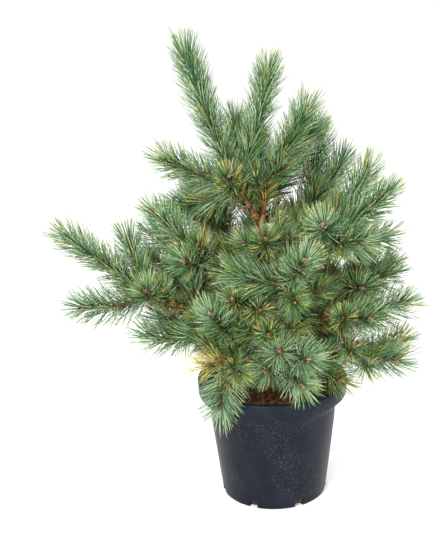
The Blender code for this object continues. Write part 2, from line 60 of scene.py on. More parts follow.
# Pot and root ball, as the source has them
POT_HEIGHT = 0.297
RIM_RADIUS = 0.181
RIM_BAND = 0.039
RIM_ROUND = 0.007
BODY_TOP_RADIUS = 0.158
BASE_RADIUS = 0.127
BASE_ROUND = 0.004
POT_WALL = 0.0032
POT_FLOOR = 0.005
LEDGE_DROP = 0.024
LEDGE_STEP = 0.0022
POT_STEPS = 144
NOTCH_COUNT = 7
NOTCH_FIRST_BEARING = -114.0
NOTCH_WIDTH = 0.022
NOTCH_HEIGHT = 0.019
NOTCH_DEPTH = 0.016
SOIL_LEVEL = 0.262
SOIL_FALL = 0.006
SOIL_FLAT = 0.050

# Trunk, as the source has it
TRUNK_BEARING = 180.0
TRUNK_RISE = 87.8
TRUNK_UPRIGHT = 0.012
TRUNK_LENGTH = 0.399
TRUNK_ROOT_RADIUS = 0.0150
TRUNK_TIP_RADIUS = 0.0078
FLARE = 0.0080
FLARE_HEIGHT = 0.030
FLARE_LOBES = 5
HUB_LENGTH = 0.009
GAP = 0.0003

# carrier, share of the carrier's length, bearing, rise, length, lift, and the radius at root and tip
Limb = namedtuple("Limb", "carrier share bearing rise length lift root tip")
LIMBS = {
    "left_fork": Limb("trunk", 1.00, -169, 60, 0.109, 6, 0.0066, 0.0050),
    "right_fork": Limb("trunk", 0.99, 0, 84, 0.110, 0, 0.0056, 0.0044),
    "upper_right_bough": Limb("trunk", 0.95, 32, 12, 0.115, 16, 0.0042, 0.0034),
    "back_upper_bough": Limb("trunk", 0.90, 92, 40, 0.115, 14, 0.0042, 0.0034),
    "left_upper_bough": Limb("trunk", 0.82, -159, 2, 0.139, 14, 0.0050, 0.0038),
    "front_right_bough": Limb("trunk", 0.78, -35, 28, 0.194, 10, 0.0056, 0.0042),
    "back_left_bough": Limb("trunk", 0.72, 138, 30, 0.150, 14, 0.0048, 0.0036),
    "mid_right_bough": Limb("trunk", 0.63, 2, 0, 0.186, 10, 0.0050, 0.0038),
    "back_right_bough": Limb("trunk", 0.66, 52, 26, 0.165, 12, 0.0048, 0.0036),
    "front_bough": Limb("trunk", 0.55, -70, 31, 0.158, 8, 0.0050, 0.0040),
    "back_bough": Limb("trunk", 0.52, 98, 20, 0.165, 14, 0.0050, 0.0038),
    "left_arm": Limb("trunk", 0.43, -159, 19, 0.298, 10, 0.0074, 0.0050),
    "low_right_bough": Limb("trunk", 0.42, -31, 13, 0.198, 10, 0.0060, 0.0044),
    "outer_right_branch": Limb("low_right_bough", 0.86, -24, -45, 0.108, 30, 0.0036, 0.0032),
    "left_back_bough": Limb("trunk", 0.47, 166, 16, 0.170, 14, 0.0050, 0.0038),
    "left_front_bough": Limb("trunk", 0.36, -136, 10, 0.115, 14, 0.0044, 0.0036),
    "low_back_right_bough": Limb("trunk", 0.33, 38, 14, 0.180, 14, 0.0050, 0.0038),
    "front_low_bough": Limb("trunk", 0.30, -72, 6, 0.062, 10, 0.0040, 0.0034),
    "low_left_bough": Limb("trunk", 0.28, -158, 21, 0.178, 6, 0.0050, 0.0038),
    "low_back_left_bough": Limb("trunk", 0.26, 136, 16, 0.165, 12, 0.0048, 0.0036),
    "low_front_right_bough": Limb("trunk", 0.25, -34, 4, 0.090, 8, 0.0040, 0.0034),
    "low_front_left_bough": Limb("trunk", 0.22, -124, 15, 0.164, -10, 0.0044, 0.0034),
    "low_back_bough": Limb("trunk", 0.19, 84, 18, 0.160, 12, 0.0048, 0.0036),
}

# Small inner branches, each of which is the stem of a mass that stands straight off the trunk
SPRIGS = {
    "inner_upper_front": Limb("trunk", 0.86, -88, 16, 0.060, 10, 0.0032, 0.0027),
    "inner_upper_right": Limb("trunk", 0.81, 14, 14, 0.062, 10, 0.0032, 0.0027),
    "inner_left": Limb("trunk", 0.68, 170, 8, 0.066, 10, 0.0032, 0.0027),
    "inner_front_right": Limb("trunk", 0.60, -46, 6, 0.074, 10, 0.0032, 0.0027),
    "inner_front_left": Limb("trunk", 0.58, -118, 6, 0.066, 10, 0.0032, 0.0027),
    "inner_low_front": Limb("trunk", 0.45, -90, -2, 0.068, 10, 0.0032, 0.0027),
    "inner_low_right": Limb("trunk", 0.34, 2, 8, 0.082, 10, 0.0032, 0.0027),
    "inner_low_left": Limb("trunk", 0.33, 176, 6, 0.076, 10, 0.0032, 0.0027),
    "inner_back": Limb("trunk", 0.40, 108, 14, 0.080, 10, 0.0032, 0.0027),
    "inner_foot_right": Limb("trunk", 0.14, 16, 16, 0.085, 10, 0.0032, 0.0027),
    "inner_foot_left": Limb("trunk", 0.13, 146, 17, 0.085, 10, 0.0032, 0.0027),
}
BRANCHES = {**LIMBS, **SPRIGS}

# Each bough ends in a whorl of shoots: bearing, rise, length to the bud, and lift
Shoot = namedtuple("Shoot", "bearing rise length lift")
WHORLS = {
    "left_fork": (
        Shoot(175, 71, 0.325, 6),
        Shoot(28, 71, 0.268, 12),
        Shoot(-158, 26, 0.182, 10),
        Shoot(156, -22, 0.170, 30),
        Shoot(90, 54, 0.160, 12),
    ),
    "right_fork": (
        Shoot(-19, 60, 0.188, 8),
        Shoot(24, 42, 0.160, 16),
        Shoot(112, 44, 0.120, 16),
    ),
    "upper_right_bough": (
        Shoot(43, 73, 0.184, 8),
        Shoot(18, 52, 0.153, 12),
    ),
    "left_upper_bough": (
        Shoot(-165, 49, 0.170, -10),
        Shoot(158, 22, 0.140, 16),
        Shoot(-128, 16, 0.080, 16),
    ),
    "front_right_bough": (
        Shoot(23, 54, 0.168, 8),
        Shoot(-9, 37, 0.160, 10),
        Shoot(-44, 4, 0.098, 16),
        Shoot(-103, 33, 0.080, 10),
        Shoot(28, -11, 0.155, 24),
    ),
    "mid_right_bough": (
        Shoot(-17, 20, 0.105, 14),
        Shoot(34, 12, 0.130, 14),
        Shoot(-70, 12, 0.085, 14),
    ),
    "front_bough": (
        Shoot(-67, 42, 0.122, 6),
        Shoot(-174, 16, 0.124, 14),
    ),
    "left_arm": (
        Shoot(-173, 41, 0.236, -8),
        Shoot(135, 60, 0.143, 8),
        Shoot(-159, 1, 0.160, 24),
        Shoot(-94, 36, 0.056, 0),
    ),
    "low_right_bough": (
        Shoot(8, 10, 0.146, 12),
        Shoot(-45, 11, 0.082, 12),
    ),
    "outer_right_branch": (
        Shoot(-22, 0, 0.080, 20),
        Shoot(34, 6, 0.115, 16),
    ),
    "left_front_bough": (
        Shoot(-117, 42, 0.130, 6),
        Shoot(-172, 6, 0.095, 16),
    ),
    "front_low_bough": (
        Shoot(-89, 18, 0.115, 6),
        Shoot(-62, 9, 0.140, 6),
        Shoot(-66, -20, 0.132, 12),
        Shoot(-108, -12, 0.095, 16),
    ),
    "low_left_bough": (
        Shoot(-160, 2, 0.130, 52),
        Shoot(164, 12, 0.100, 20),
    ),
    "low_front_right_bough": (
        Shoot(-39, -20, 0.112, 12),
        Shoot(-4, 4, 0.120, 16),
        Shoot(-62, 12, 0.075, 16),
    ),
    "low_front_left_bough": (
        Shoot(-107, -44, 0.118, 8),
        Shoot(-146, 2, 0.066, 10),
    ),
}

# A whorl with no shoots named above has one that carries its bough on and others turned evenly round it
RULE_SHOOTS = 3
RULE_LENGTH = 0.135
SPRIG_SHOOT_LENGTH = 0.098
RULE_SIDE_SHARE = 0.80
RULE_SIDE_ANGLE = 42.0
RULE_LIFT = 14.0
RULE_RISE = 16.0
RULE_LOWEST_RISE = -8.0

# Finer twigs, which the boughs and whorls carry besides the shoots above
SIDE_FROM = 0.34
SIDE_PITCH = 0.030
SIDE_ANGLE = 52.0
SIDE_LIFT = 18.0
SIDE_LENGTH = (0.034, 0.062)
SIDE_UPWARD = 0.25
HUB_TWIGS = 2
HUB_TWIG_ANGLE = 58.0
HUB_TWIG_LENGTH = (0.045, 0.075)
HUB_UPWARD = 0.20

# Buds, the bare foot of a shoot or twig below its needles, and the steps that paths are drawn in
BOUGH_BUD = 0.017
SPRIG_BUD = 0.012
SMALL_BUD = 0.010
BARE_FOOT = 0.012
SMALL_BARE_FOOT = 0.010
LIMB_STEP = 0.004
TWIG_STEP = 0.006

# Needles, in pairs out of a short brown sheath. Outer ones have more rings than the inner ones.
NEEDLE_WIDTH = 0.0019
NEEDLE_DEPTH_SHARE = 0.75
OUTER_STATIONS = (0.0, 0.40, 0.80)
INNER_STATIONS = (0.0, 0.55)
PAIR_ANGLE = 6.0
GOLDEN_ANGLE = math.radians(137.5)
TUFT_LENGTH = 0.038
SPREAD_ROOT = 62.0
SPREAD_LEVEL = 56.0
SPREAD_UPRIGHT = 45.0
SPREAD_TIP = 25.0
SPREAD_SPARE = 6.5
NEEDLE_LIFT = 0.10
NEEDLE_FORWARD = 0.12
SHEATH_LENGTH = 0.007
SHEATH_RADIUS = 0.0010
TWIG_ROOT_RADIUS = 0.0034
TWIG_TIP_RADIUS = 0.0021
SMALL_TWIG_RADIUS = 0.0015

# The rise of a shoot that counts as upright, and the height over which its needles turn creamier
UPRIGHT_RISE = 75.0
CREAMY_FROM = 0.45
CREAMY_OVER = 0.35

# Dry needles on the root ball
LITTER_COUNT = 1500
LITTER_RADIUS = 0.150
LITTER_LENGTH = (0.030, 0.062)
LITTER_WIDTH = 0.0016

# Pairs to the metre, their length, whether they are outer ones, and the share of each kind of colour
Dress = namedtuple("Dress", "pairs length outer mix")
# Every mix but the yellow one deals out some painted shade: the darkest green kind of needle stands in for
# the shadow side of the foliage
FRESH_MIX = {
    "blue_green": 0.35,
    "glaucous": 0.25,
    "green": 0.20,
    "dark_green": 0.14,
    "olive": 0.04,
    "yellow": 0.02,
}
SILVER_MIX = {"blue_green": 0.34, "glaucous": 0.46, "green": 0.10, "dark_green": 0.10}
INNER_MIX = {
    "blue_green": 0.20,
    "glaucous": 0.10,
    "green": 0.28,
    "dark_green": 0.18,
    "olive": 0.15,
    "yellow": 0.05,
    "dry_brown": 0.04,
}
OLD_MIX = {"green": 0.24, "dark_green": 0.16, "olive": 0.30, "yellow": 0.14, "dry_brown": 0.16}
YELLOW_MIX = {"yellow": 0.76, "olive": 0.24}
OLIVE_MIX = {"olive": 0.40, "green": 0.26, "blue_green": 0.16, "yellow": 0.10, "dark_green": 0.08}
DRESSES = {
    "fresh": Dress(1450, 0.069, True, FRESH_MIX),
    "silver": Dress(1450, 0.069, True, SILVER_MIX),
    "inner": Dress(1300, 0.060, False, INNER_MIX),
    "old": Dress(850, 0.056, False, OLD_MIX),
    "yellow": Dress(900, 0.064, True, YELLOW_MIX),
    "olive": Dress(1200, 0.064, True, OLIVE_MIX),
}
SHOOT_DRESSES = {
    "low_front_left_bough_shoot_1": "yellow",
    "low_front_right_bough_shoot_0": "olive",
    "outer_right_branch_shoot_1": "olive",
    "front_bough_shoot_0": "silver",
    "front_right_bough_shoot_3": "silver",
    "left_front_bough_shoot_0": "silver",
    "front_low_bough_shoot_0": "silver",
    "front_low_bough_shoot_1": "silver",
    "front_low_bough_shoot_2": "silver",
    "low_front_left_bough_shoot_0": "silver",
}

NEEDLE_COLOURS = {
    "blue_green": ((0.105, 0.220, 0.107), (0.168, 0.309, 0.156)),
    "glaucous": ((0.294, 0.432, 0.238), (0.400, 0.536, 0.303)),
    "green": ((0.095, 0.196, 0.049), (0.168, 0.299, 0.078)),
    # Painted shade: a darker copy of the green, standing in for the foliage's shadow side and dealt out at
    # random among the needles
    "dark_green": ((0.037, 0.093, 0.037), (0.063, 0.139, 0.053)),
    "olive": ((0.231, 0.268, 0.053), (0.336, 0.371, 0.086)),
    "yellow": ((0.560, 0.460, 0.100), (0.680, 0.560, 0.160)),
    "tip_cream": ((0.640, 0.620, 0.240), (0.740, 0.720, 0.340)),
    "dry_brown": ((0.230, 0.090, 0.035), (0.420, 0.200, 0.080)),
}


# Directions and paths, in numpy
def unit(v):
    return v / np.maximum(np.linalg.norm(v, axis=-1, keepdims=True), 1e-12)


def direction(bearing, rise):
    b, r = math.radians(bearing), math.radians(rise)
    return np.array((math.cos(b) * math.cos(r), math.sin(b) * math.cos(r), math.sin(r)))


def heading(way):
    """The bearing and rise of a direction."""
    return math.degrees(math.atan2(way[1], way[0])), math.degrees(math.asin(max(-1.0, min(1.0, way[2]))))


def arc(start, bearing, rise, length, lift, steps):
    """Points of a limb whose two ends lie along (bearing, rise) and which turns up by lift on its way."""
    points = [np.array(start, float)]
    for i in range(steps):
        turn = lift * ((i + 0.5) / steps - 0.5)
        points.append(points[-1] + direction(bearing, rise + turn) * (length / steps))
    return np.array(points)


def length_of(path):
    return np.linalg.norm(np.diff(path, axis=0), axis=1).sum()


def along(path, share, values=None):
    """The path's points, or the values given at them, at these shares of its length."""
    far = np.concatenate([[0.0], np.cumsum(np.linalg.norm(np.diff(path, axis=0), axis=1))])
    values = path if values is None else values
    place = np.clip(share, 0.0, 1.0) * far[-1]
    return np.stack([np.interp(place, far, values[:, k]) for k in range(3)], -1)


def framed(points):
    """Tangents of a path, and two side directions carried along it without turning."""
    steps = unit(np.diff(points, axis=0))
    ahead = unit(np.concatenate([steps[:1], steps[:-1] + steps[1:], steps[-1:]]))
    side = np.zeros_like(points)
    first = np.cross(ahead[0], (0.0, 0.0, 1.0) if abs(ahead[0][2]) < 0.9 else (1.0, 0.0, 0.0))
    side[0] = unit(first)
    for i in range(1, len(points)):
        side[i] = unit(side[i - 1] - ahead[i] * (side[i - 1] @ ahead[i]))
    return ahead, side, np.cross(ahead, side)


def seeded(name):
    return np.random.default_rng(zlib.crc32(name.encode()))


# Meshes
def make_mesh(name, verts, faces, surface):
    """An object from arrays: verts (n, 3), and faces as one array or several, each (m, corners)."""
    groups = [f for f in (faces if isinstance(faces, (list, tuple)) else [faces]) if len(f)]
    mesh = bpy.data.meshes.new(name)
    mesh.vertices.add(len(verts))
    mesh.vertices.foreach_set("co", np.asarray(verts, np.float32).ravel())
    corners = np.concatenate([g.ravel() for g in groups]).astype(np.int32)
    sizes = np.concatenate([np.full(len(g), g.shape[1]) for g in groups])
    mesh.loops.add(len(corners))
    mesh.loops.foreach_set("vertex_index", corners)
    mesh.polygons.add(len(sizes))
    mesh.polygons.foreach_set("loop_start", np.concatenate([[0], np.cumsum(sizes)[:-1]]).astype(np.int32))
    mesh.update(calc_edges=True)
    mesh.shade_smooth()
    made = bpy.data.objects.new(name, mesh)
    bpy.context.scene.collection.objects.link(made)
    mesh.materials.append(surface)
    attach(made, "root")
    return made


class Bag:
    """Gathers the arrays of many small shapes that make one piece."""

    def __init__(self):
        self.verts, self.faces, self.count = [], [], 0

    def add(self, verts, faces):
        self.verts.append(verts)
        self.faces.append(faces + self.count)
        self.count += len(verts)

    def add_many(self, shapes, pattern):
        """Many shapes (n, corners, 3) whose triangles follow one pattern."""
        offsets = np.arange(len(shapes))[:, None, None] * shapes.shape[1]
        self.add(shapes.reshape(-1, 3), (pattern[None] + offsets).reshape(-1, 3))

    def arrays(self):
        return np.concatenate(self.verts), np.concatenate(self.faces)


def turned(name, profile, steps, surface):
    bm = bmesh.new()
    verts = [bm.verts.new((r, 0.0, z)) for r, z in profile]
    edges = [bm.edges.new(pair) for pair in zip(verts, verts[1:])]
    bmesh.ops.spin(
        bm,
        geom=verts + edges,
        cent=(0, 0, 0),
        axis=(0, 0, 1),
        angle=math.tau,
        steps=steps,
        use_duplicate=False,
    )
    bmesh.ops.remove_doubles(bm, verts=bm.verts, dist=1e-6)
    bmesh.ops.recalc_face_normals(bm, faces=bm.faces)
    mesh = bpy.data.meshes.new(name)
    bm.to_mesh(mesh)
    bm.free()
    mesh.shade_smooth()
    made = bpy.data.objects.new(name, mesh)
    bpy.context.scene.collection.objects.link(made)
    mesh.materials.append(surface)
    return made


def tube_arrays(points, radii, sides, twist=0.0):
    """Verts and triangles of a closed tube; radii is (rings,) or (rings, sides)."""
    ahead, u, v = framed(points)
    n = len(points)
    turn = np.arange(sides) * math.tau / sides
    angle = turn[None, :] + twist * np.arange(n)[:, None]
    radii = np.broadcast_to(np.asarray(radii)[:, None] if np.ndim(radii) == 1 else radii, (n, sides))
    ring = u[:, None] * np.cos(angle)[..., None] + v[:, None] * np.sin(angle)[..., None]
    verts = points[:, None] + ring * radii[..., None]
    i, k = np.meshgrid(np.arange(n - 1), np.arange(sides), indexing="ij")
    k2 = (k + 1) % sides
    a, b, c, d = i * sides + k, i * sides + k2, (i + 1) * sides + k2, (i + 1) * sides + k
    tris = np.concatenate([np.stack([a, b, c], -1).reshape(-1, 3), np.stack([a, c, d], -1).reshape(-1, 3)])
    near = np.stack([np.zeros(sides - 2, int), np.arange(2, sides), np.arange(1, sides - 1)], -1)
    far = (n - 1) * sides + near[:, [0, 2, 1]]
    return verts.reshape(-1, 3), np.concatenate([tris, near, far])


def wrinkle(points, sizes, heights, seed):
    """A smooth random height at each point: waves of these sizes in directions dealt out by the seed."""
    draw = np.random.default_rng(seed)
    total = np.zeros(len(points))
    for size, height in zip(sizes, heights):
        for _ in range(4):
            way = unit(draw.normal(size=3)) * math.tau / size * draw.uniform(0.7, 1.4)
            total += height / 2 * np.sin(points @ way + draw.uniform(0, math.tau))
    return total


# Materials
def principled(name, roughness, specular=0.5):
    made = bpy.data.materials.new(name)
    made.use_nodes = True
    shader = made.node_tree.nodes["Principled BSDF"]
    shader.inputs["Roughness"].default_value = roughness
    shader.inputs["Specular IOR Level"].default_value = specular
    return made, made.node_tree, shader


def node(tree, kind, **values):
    made = tree.nodes.new(kind)
    for key, value in values.items():
        if key in made.inputs:
            made.inputs[key].default_value = value
        else:
            setattr(made, key, value)
    return made


def mottled(tree, low, high, scale, detail=2.0, spread=(0.35, 0.65)):
    """A colour that wanders between two by noise in the object's own space. Returns the colour's socket."""
    place = node(tree, "ShaderNodeTexCoord")
    noise = node(tree, "ShaderNodeTexNoise", Scale=scale, Detail=detail)
    ramp = node(tree, "ShaderNodeValToRGB")
    ramp.color_ramp.elements[0].position, ramp.color_ramp.elements[1].position = spread
    ramp.color_ramp.elements[0].color = (*low, 1.0)
    ramp.color_ramp.elements[1].color = (*high, 1.0)
    tree.links.new(place.outputs["Object"], noise.inputs["Vector"])
    tree.links.new(noise.outputs["Fac"], ramp.inputs["Fac"])
    return ramp.outputs["Color"]


def bumped(tree, shader, scale, strength, distance, detail=4.0):
    place = node(tree, "ShaderNodeTexCoord")
    noise = node(tree, "ShaderNodeTexNoise", Scale=scale, Detail=detail)
    bump = node(tree, "ShaderNodeBump", Strength=strength, Distance=distance)
    tree.links.new(place.outputs["Object"], noise.inputs["Vector"])
    tree.links.new(noise.outputs["Fac"], bump.inputs["Height"])
    tree.links.new(bump.outputs["Normal"], shader.inputs["Normal"])


def needle_material(kind):
    low, high = NEEDLE_COLOURS[kind]
    made, tree, shader = principled("needle_" + kind, 0.48, 0.22)
    tree.links.new(mottled(tree, low, high, 160.0), shader.inputs["Base Color"])
    return made


def bark_material(name, dark, light, scale):
    made, tree, shader = principled(name, 0.85, 0.15)
    tree.links.new(mottled(tree, dark, light, scale, 6.0, (0.38, 0.66)), shader.inputs["Base Color"])
    bumped(tree, shader, scale * 3, 0.7, 0.0012)
    return made


def pot_material():
    made, tree, shader = principled("black_plastic", 0.38, 0.11)
    plain = mottled(tree, (0.005, 0.007, 0.012), (0.009, 0.012, 0.019), 22.0, 5.0)
    place = node(tree, "ShaderNodeTexCoord")
    specks = node(tree, "ShaderNodeTexVoronoi", Scale=210.0)
    near = node(tree, "ShaderNodeMath", operation="LESS_THAN")
    near.inputs[1].default_value = 0.16
    patches = node(tree, "ShaderNodeTexNoise", Scale=9.0, Detail=2.0)
    often = node(tree, "ShaderNodeMath", operation="GREATER_THAN")
    often.inputs[1].default_value = 0.53
    both = node(tree, "ShaderNodeMath", operation="MULTIPLY")
    mix = node(tree, "ShaderNodeMix", data_type="RGBA")
    mix.inputs["B"].default_value = (0.12, 0.13, 0.13, 1.0)
    for texture in (specks, patches):
        tree.links.new(place.outputs["Object"], texture.inputs["Vector"])
    tree.links.new(specks.outputs["Distance"], near.inputs[0])
    tree.links.new(patches.outputs["Fac"], often.inputs[0])
    tree.links.new(near.outputs[0], both.inputs[0])
    tree.links.new(often.outputs[0], both.inputs[1])
    tree.links.new(both.outputs[0], mix.inputs["Factor"])
    tree.links.new(plain, mix.inputs["A"])
    tree.links.new(mix.outputs["Result"], shader.inputs["Base Color"])
    bumped(tree, shader, 900.0, 0.15, 0.0004, 2.0)
    return made


# Pot and root ball
def body_radius(height):
    share = height / (POT_HEIGHT - RIM_BAND)
    return BASE_RADIUS + (BODY_TOP_RADIUS - BASE_RADIUS) * share


def quarter(centre_r, centre_z, radius, first, last, count=6):
    turns = [math.radians(first + (last - first) * i / count) for i in range(count + 1)]
    return [(centre_r + radius * math.cos(a), centre_z + radius * math.sin(a)) for a in turns]


def pot_profile():
    ledge = POT_HEIGHT - RIM_BAND - LEDGE_DROP
    rim_foot = POT_HEIGHT - RIM_BAND
    inner_rim = BODY_TOP_RADIUS + 0.004
    walls = [body_radius(h) for h in (0.05, 0.12, 0.19)]
    outside = [
        (0.0, 0.0),
        (0.060, 0.0),
        (0.062, 0.0022),
        (0.086, 0.0022),
        (0.088, 0.0),
        *quarter(BASE_RADIUS - BASE_ROUND, BASE_ROUND, BASE_ROUND, -90, 0),
        *zip(walls, (0.05, 0.12, 0.19)),
        (body_radius(ledge) - LEDGE_STEP, ledge - LEDGE_STEP),
        (body_radius(ledge) - 0.0004, ledge - 0.0006),
        (body_radius(ledge), ledge),
        (BODY_TOP_RADIUS, rim_foot + 0.004),
        (RIM_RADIUS - 0.005, rim_foot),
        (RIM_RADIUS - 0.003, rim_foot + 0.0005),
        (RIM_RADIUS - 0.002, rim_foot + 0.003),
        *quarter(RIM_RADIUS - RIM_ROUND, POT_HEIGHT - RIM_ROUND, RIM_ROUND, 0, 90),
    ]
    inside = [
        (inner_rim + 0.006, POT_HEIGHT - 0.0004),
        (inner_rim + 0.002, POT_HEIGHT - 0.003),
        (inner_rim, POT_HEIGHT - 0.008),
        (BODY_TOP_RADIUS - POT_WALL, rim_foot - POT_WALL),
        (BASE_RADIUS - POT_WALL, POT_FLOOR + 0.003),
        (BASE_RADIUS - POT_WALL - 0.003, POT_FLOOR),
        (0.0, POT_FLOOR),
    ]
    return outside + inside


def cut_notches(pot):
    for i in range(NOTCH_COUNT):
        bearing = math.radians(NOTCH_FIRST_BEARING + 360.0 * i / NOTCH_COUNT)
        bm = bmesh.new()
        bmesh.ops.create_cube(bm, size=1.0)
        below = NOTCH_DEPTH / 2
        scale = Matrix.Diagonal((NOTCH_DEPTH * 2, NOTCH_WIDTH, NOTCH_HEIGHT + below, 1.0))
        lift = Matrix.Translation((BASE_RADIUS, 0.0, (NOTCH_HEIGHT - below) / 2))
        bmesh.ops.transform(bm, matrix=Matrix.Rotation(bearing, 4, "Z") @ lift @ scale, verts=bm.verts)
        mesh = bpy.data.meshes.new("notch")
        bm.to_mesh(mesh)
        bm.free()
        cutter = bpy.data.objects.new("notch", mesh)
        bpy.context.scene.collection.objects.link(cutter)
        modifier = pot.modifiers.new("notch", "BOOLEAN")
        modifier.operation = "DIFFERENCE"
        modifier.solver = "EXACT"
        modifier.object = cutter
        applied(pot)
        bpy.data.objects.remove(cutter)


def applied(made):
    bpy.context.view_layer.update()
    graph = bpy.context.evaluated_depsgraph_get()
    mesh = bpy.data.meshes.new_from_object(made.evaluated_get(graph))
    made.modifiers.clear()
    made.data = mesh


def make_pot():
    pot = turned("pot_shell", pot_profile(), POT_STEPS, pot_material())
    cut_notches(pot)
    pot.data.shade_smooth()
    pot.data.set_sharp_from_angle(angle=math.radians(40))
    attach(pot, "root")
    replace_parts(pot, "pot")


def soil_height(radius):
    edge = BODY_TOP_RADIUS - POT_WALL
    share = np.clip((radius - SOIL_FLAT) / (edge - SOIL_FLAT), 0, 1)
    return SOIL_LEVEL - SOIL_FALL * share


def make_soil():
    rings, sectors = 46, 150
    edge = BODY_TOP_RADIUS - POT_WALL - 0.001
    radius = np.linspace(0.004, edge, rings)
    turn = np.arange(sectors) * math.tau / sectors
    r, a = np.meshgrid(radius, turn, indexing="ij")
    flat = np.stack([r * np.cos(a), r * np.sin(a), np.zeros_like(r)], -1).reshape(-1, 3)
    flat[:, 2] = soil_height(r.ravel()) + wrinkle(flat, (0.030, 0.012, 0.005), (0.0016, 0.0014, 0.0009), 5)
    i, k = np.meshgrid(np.arange(rings - 1), np.arange(sectors), indexing="ij")
    k2 = (k + 1) % sectors
    quads = np.stack([i * sectors + k, (i + 1) * sectors + k, (i + 1) * sectors + k2, i * sectors + k2], -1)
    skirt = flat[-sectors:].copy()
    skirt[:, 2] -= 0.02
    middle = np.array([[0, 0, SOIL_LEVEL]])
    verts = np.concatenate([flat, skirt, middle])
    j = np.arange(sectors)
    after = (j + 1) % sectors
    last = (rings - 1) * sectors
    wall = np.stack([last + j, rings * sectors + j, rings * sectors + after, last + after], -1)
    fan = np.stack([np.full(sectors, len(verts) - 1), j, after], -1)
    soil = make_mesh(
        "soil_surface",
        verts,
        [quads.reshape(-1, 4), wall, fan],
        bark_material("potting_mix", (0.014, 0.006, 0.003), (0.130, 0.060, 0.028), 120.0),
    )
    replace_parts(soil, "root_ball")
    core = turned(
        "soil_core",
        [
            (0.0, POT_FLOOR + 0.001),
            (BASE_RADIUS - POT_WALL - 0.005, POT_FLOOR + 0.001),
            (BASE_RADIUS - POT_WALL - 0.001, POT_FLOOR + 0.004),
            (body_radius(0.2) - POT_WALL - 0.001, 0.2),
            (body_radius(0.235) - POT_WALL - 0.001, 0.235),
            (0.0, 0.235),
        ],
        96,
        soil.data.materials[0],
    )
    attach(core, "root")
    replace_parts(core, "root_ball")


# Limbs with bark
def trunk_path(steps=60):
    foot = np.array((0.0, 0.0, SOIL_LEVEL + GAP))
    above = foot + np.array((0.0, 0.0, TRUNK_UPRIGHT))
    return np.concatenate([[foot], arc(above, TRUNK_BEARING, TRUNK_RISE, TRUNK_LENGTH, 0.0, steps)])


def bark_radii(points, radii, sides, rough, seed):
    """The limb's radii with plates and furrows of bark on them."""
    verts, _ = tube_arrays(points, radii, sides)
    relief = wrinkle(verts * np.array((1, 1, 0.45)), (0.011, 0.0055, 0.003), (0.5, 0.4, 0.3), seed)
    relief = relief.reshape(len(points), sides)
    base = np.broadcast_to(np.asarray(radii)[:, None] if np.ndim(radii) == 1 else radii, relief.shape)
    return base * (1.0 + rough * np.clip(relief, -1.2, 0.8))


def branch_paths():
    paths = {"trunk": trunk_path()}
    for name, limb in BRANCHES.items():
        start = along(paths[limb.carrier], limb.share)
        steps = max(10, int(limb.length / LIMB_STEP))
        paths[name] = arc(start, limb.bearing, limb.rise, limb.length, limb.lift, steps)
    return paths


def make_limbs(paths):
    old = bark_material("old_bark", (0.050, 0.022, 0.012), (0.300, 0.140, 0.065), 90.0)
    young = bark_material("bough_bark", (0.060, 0.024, 0.011), (0.380, 0.170, 0.070), 130.0)
    trunk = paths["trunk"]
    steps = np.linspace(0, 1, len(trunk))
    taper = TRUNK_ROOT_RADIUS + (TRUNK_TIP_RADIUS - TRUNK_ROOT_RADIUS) * steps
    flare = FLARE * np.exp(-(trunk[:, 2] - SOIL_LEVEL) / FLARE_HEIGHT)
    sides = 40
    turn = np.arange(sides) * math.tau / sides
    radii = taper[:, None] + flare[:, None] * (0.55 + 0.45 * np.cos(FLARE_LOBES * turn))[None]
    foot = trunk.copy()
    foot[0, 2] -= 0.004
    verts, tris = tube_arrays(foot, bark_radii(trunk, radii, sides, 0.11, 3), sides)
    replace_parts(make_mesh("trunk_bark", verts, tris, old), "trunk")
    for i, (name, limb) in enumerate(LIMBS.items()):
        path = paths[name]
        steps = np.linspace(0, 1, len(path))
        radii = limb.root + (limb.tip - limb.root) * steps
        verts, tris = tube_arrays(path, bark_radii(path, radii, 14, 0.16, 20 + i), 14)
        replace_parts(make_mesh(name + "_bark", verts, tris, young), name)


# Where needles may not grow
def outside_pot(points):
    """True where a point is clear of the pot and above the soil."""
    radius = np.linalg.norm(points[..., :2], axis=-1)
    z = points[..., 2]
    outer = np.where(z > POT_HEIGHT - RIM_BAND, RIM_RADIUS, body_radius(np.maximum(z, 0)))
    over_soil = (radius < BODY_TOP_RADIUS - 0.002) & (z > SOIL_LEVEL + 0.002)
    return (z > POT_HEIGHT + 0.001) | over_soil | (radius > outer + 0.001)


class Limbs:
    """Short spans of the trunk and boughs, to keep needles out of them."""

    def __init__(self, paths):
        starts, spans, reach = [], [], []
        for name in ("trunk", *LIMBS):
            marks = along(paths[name], np.linspace(0, 1, 9))
            root, tip = (TRUNK_ROOT_RADIUS, TRUNK_TIP_RADIUS) if name == "trunk" else LIMBS[name][-2:]
            starts.append(marks[:-1])
            spans.append(np.diff(marks, axis=0))
            reach.append(np.linspace(root, tip, 8))
        self.starts, self.spans, self.reach = (np.concatenate(part) for part in (starts, spans, reach))

    def clear_of(self, points):
        """True where none of a row of points (n, k, 3) lies in a limb."""
        flat = points.reshape(-1, 3)
        offset = flat[:, None] - self.starts[None]
        share = np.clip((offset * self.spans).sum(-1) / (self.spans**2).sum(-1), 0, 1)
        gap = np.linalg.norm(offset - share[..., None] * self.spans, axis=-1) - self.reach
        return (gap.min(1) > 0).reshape(points.shape[:2]).all(1)


# Needles
def needle_faces(rings):
    """Triangles of a needle with this many three-sided rings: its body and foot, and its point."""
    body = [[0, 2, 1]]
    for r in range(0, 3 * (rings - 1), 3):
        for a, b in ((0, 1), (1, 2), (2, 0)):
            body += [[r + a, r + b, r + 3 + b], [r + a, r + 3 + b, r + 3 + a]]
    last = 3 * (rings - 1)
    return np.array(body), np.array([[last + a, last + b, last + 3] for a, b in ((0, 1), (1, 2), (2, 0))])


